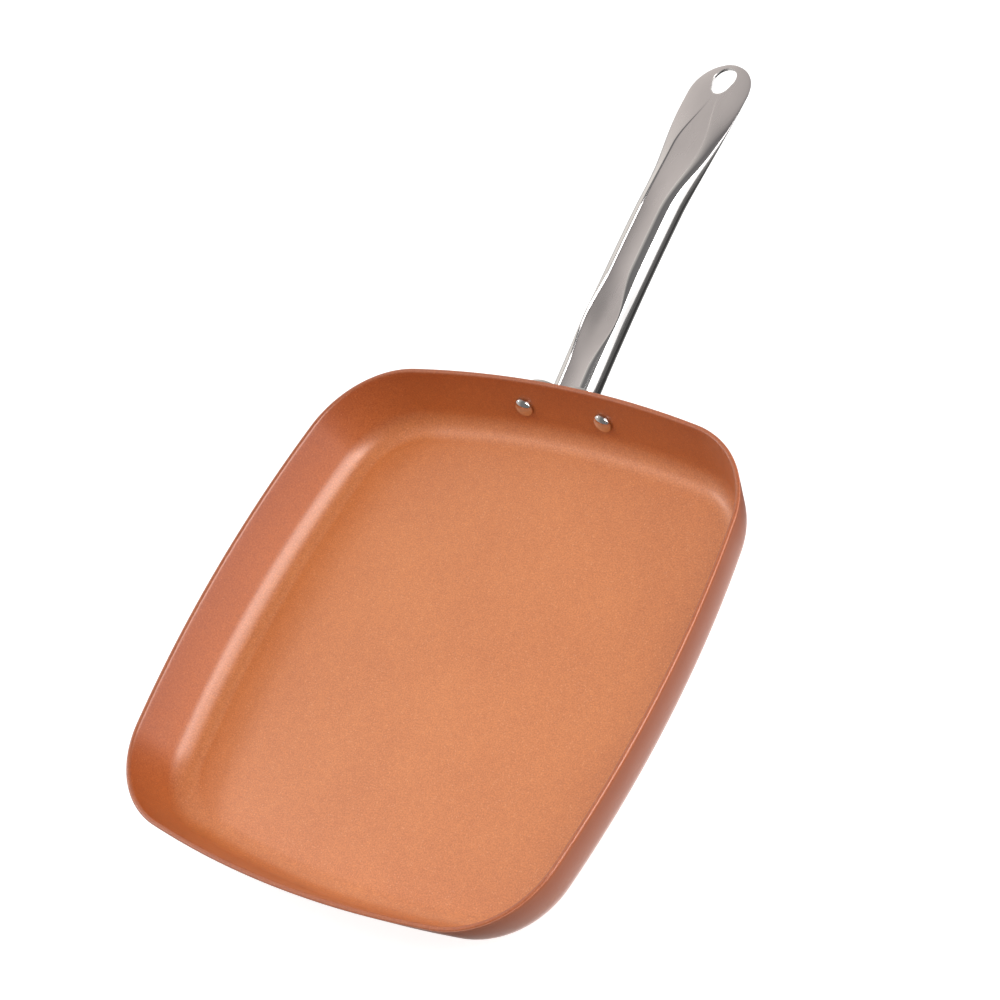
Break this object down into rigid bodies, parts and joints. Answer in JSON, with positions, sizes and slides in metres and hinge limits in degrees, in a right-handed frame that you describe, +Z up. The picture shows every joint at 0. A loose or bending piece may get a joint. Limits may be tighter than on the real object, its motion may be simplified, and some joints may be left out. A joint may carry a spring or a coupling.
{
  "type": "square frying pan",
  "caption": "Shallow square frying pan with bowed sides, round corners and a copper-coloured coating, and a riveted hollow steel handle with a hanging hole.",
  "frame": {"origin": "centre of the pan's flat underside", "axes": "+Z up, square to the base; +Y from the pan's centre along the handle; +X to the right when looking along +Y"},
  "size_m": [0.2796, 0.4797, 0.0383],
  "materials": {
    "copper_coat": "pressed aluminium with a copper-coloured sparkling non-stick coat",
    "handle_steel": "polished stainless with a satin pressed land",
    "flange_steel": "satin stainless",
    "rivet_steel": "polished stainless"
  },
  "bodies": {
    "root": {"pan_body": "copper_coat", "handle": "handle_steel", "handle_flange": "flange_steel", "rivet_left": "rivet_steel", "rivet_right": "rivet_steel"}
  },
  "joints": []
}
